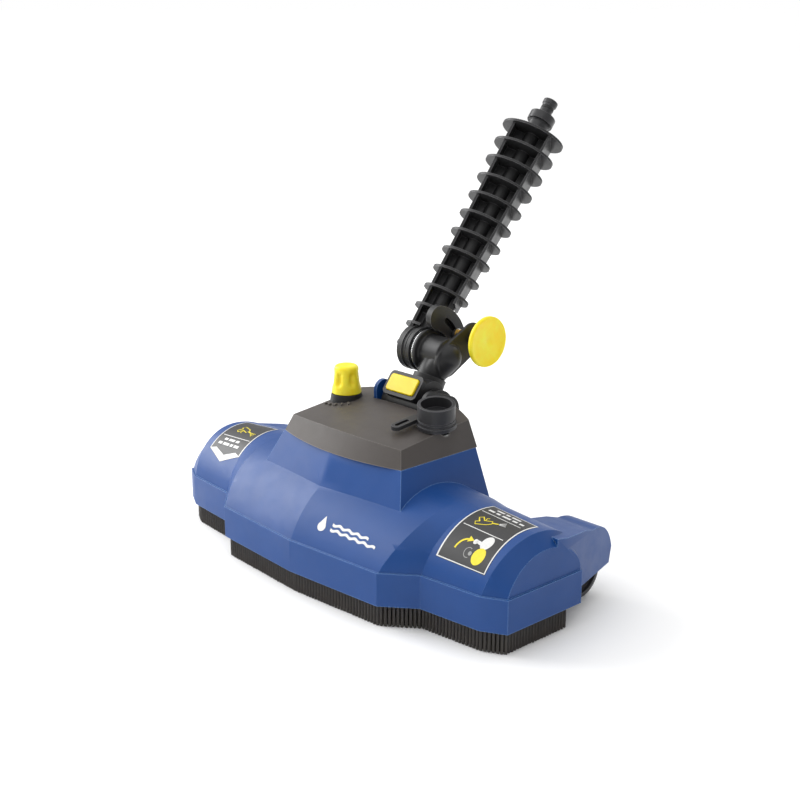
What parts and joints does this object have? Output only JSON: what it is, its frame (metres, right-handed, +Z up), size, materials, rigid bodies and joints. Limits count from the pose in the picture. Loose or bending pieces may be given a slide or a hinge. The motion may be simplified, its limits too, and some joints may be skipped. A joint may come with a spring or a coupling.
{
  "type": "pressure washer patio cleaner",
  "caption": "Wide wheeled cleaning head for a pressure washer, with a spray bar inside a bristle skirt, a dosing knob, a filler cap and a ribbed jointed lance arm.",
  "frame": {"origin": "under the middle of the whole object's box, on the floor that the bristles and wheels stand on", "axes": "+X to the machine's right, seen from behind by its user, along the spray bar; +Y to the back, where the wheels are and the user stands; +Z up"},
  "size_m": [0.4, 0.336, 0.379],
  "materials": {
    "blue_shell": "moulded, satin",
    "grey_cover": "fine grained",
    "black_plastic": "fine grained",
    "elbow_plastic": "satin, glass filled",
    "arm_plastic": "fine grained, glass filled",
    "inlet_plastic": "satin",
    "cap_plastic": "fine grained",
    "wheel_plastic": "fine grained",
    "yellow_plastic": "moulded, satin",
    "tank_plastic": "natural, translucent",
    "bristle_nylon": "bristle tufts",
    "seal_rubber": "matt",
    "hose_rubber": "matt",
    "pin_steel": "turned",
    "bar_steel": "drawn tube",
    "ring_steel": "knurled, bright",
    "spring_steel": "wire",
    "spring_brass": "wire",
    "nozzle_brass": "turned"
  },
  "bodies": {
    "deck": {"deck_shell": "blue_shell", "top_cover": "grey_cover", "yoke": "blue_shell", "trunnion_left": "pin_steel", "trunnion_right": "pin_steel", "knob_collar": "black_plastic", "detergent_tank": "tank_plastic", "filler_neck": "tank_plastic", "spray_bar": "bar_steel", "spray_nozzles": "nozzle_brass", "feed_hose": "hose_rubber", "under_tray": "black_plastic", "brush_rails": "black_plastic", "tray_screws": "pin_steel", "bristles_front": "bristle_nylon", "bristles_left": "bristle_nylon", "bristles_right": "bristle_nylon", "bristles_rear": "bristle_nylon", "stub_axle_left": "pin_steel", "stub_axle_right": "pin_steel", "wheel_bracket_left": "black_plastic", "wheel_bracket_right": "black_plastic"},
    "rocker": {"rocker_housing": "black_plastic", "release_spring": "spring_steel", "elbow": "elbow_plastic", "index_spring": "spring_brass"},
    "button": {"release_button": "yellow_plastic"},
    "index": {"index_pin": "pin_steel", "pull_knob": "yellow_plastic"},
    "arm": {"arm": "arm_plastic", "bayonet_inlet": "inlet_plastic", "inlet_seal": "seal_rubber", "hub_axle": "pin_steel", "hub_seal": "seal_rubber", "hub_ring": "ring_steel"},
    "regulator": {"regulator_knob": "yellow_plastic", "regulator_stem": "nozzle_brass"},
    "cap": {"filler_cap": "cap_plastic", "cap_seal": "seal_rubber"},
    "left_wheel": {"wheel_left": "wheel_plastic"},
    "right_wheel": {"wheel_right": "wheel_plastic"}
  },
  "joints": [
    {"name": "rocker_tilt", "type": "hinge", "parent": "deck", "child": "rocker", "pos_m": [0, -0.02596, 0.1305], "axis": [1, 0, 0], "range_deg": [-25, 10]},
    {"name": "arm_pivot", "type": "hinge", "parent": "rocker", "child": "arm", "pos_m": [-0.023, -0.00346, 0.1735], "axis": [1, 0, 0], "range_deg": [-35, 0]},
    {"name": "index_pull", "type": "slide", "parent": "rocker", "child": "index", "axis": [1, 0, 0], "range_m": [0, 0.007], "stiffness_N_per_m": 800, "springref_m": -0.004, "deforming": ["index_spring"]},
    {"name": "button_press", "type": "slide", "parent": "rocker", "child": "button", "axis": [0, 0.7986, -0.6018], "range_m": [0, 0.003], "stiffness_N_per_m": 1000, "springref_m": -0.003, "deforming": ["release_spring"]},
    {"name": "regulator_turn", "type": "hinge", "parent": "deck", "child": "regulator", "pos_m": [-0.055, -0.05806, 0.1304], "axis": [0, 0, 1], "range_deg": [0, 270]},
    {"name": "filler_cap_lift", "type": "slide", "parent": "deck", "child": "cap", "axis": [0.1007, -0.1195, 0.9877], "range_m": [0, 0.03]},
    {"name": "wheel_left_spin", "type": "hinge", "parent": "deck", "child": "left_wheel", "pos_m": [-0.16, -0.00296, 0.022], "axis": [1, 0, 0], "continuous": true},
    {"name": "wheel_right_spin", "type": "hinge", "parent": "deck", "child": "right_wheel", "pos_m": [0.16, -0.00296, 0.022], "axis": [1, 0, 0], "continuous": true}
  ]
}
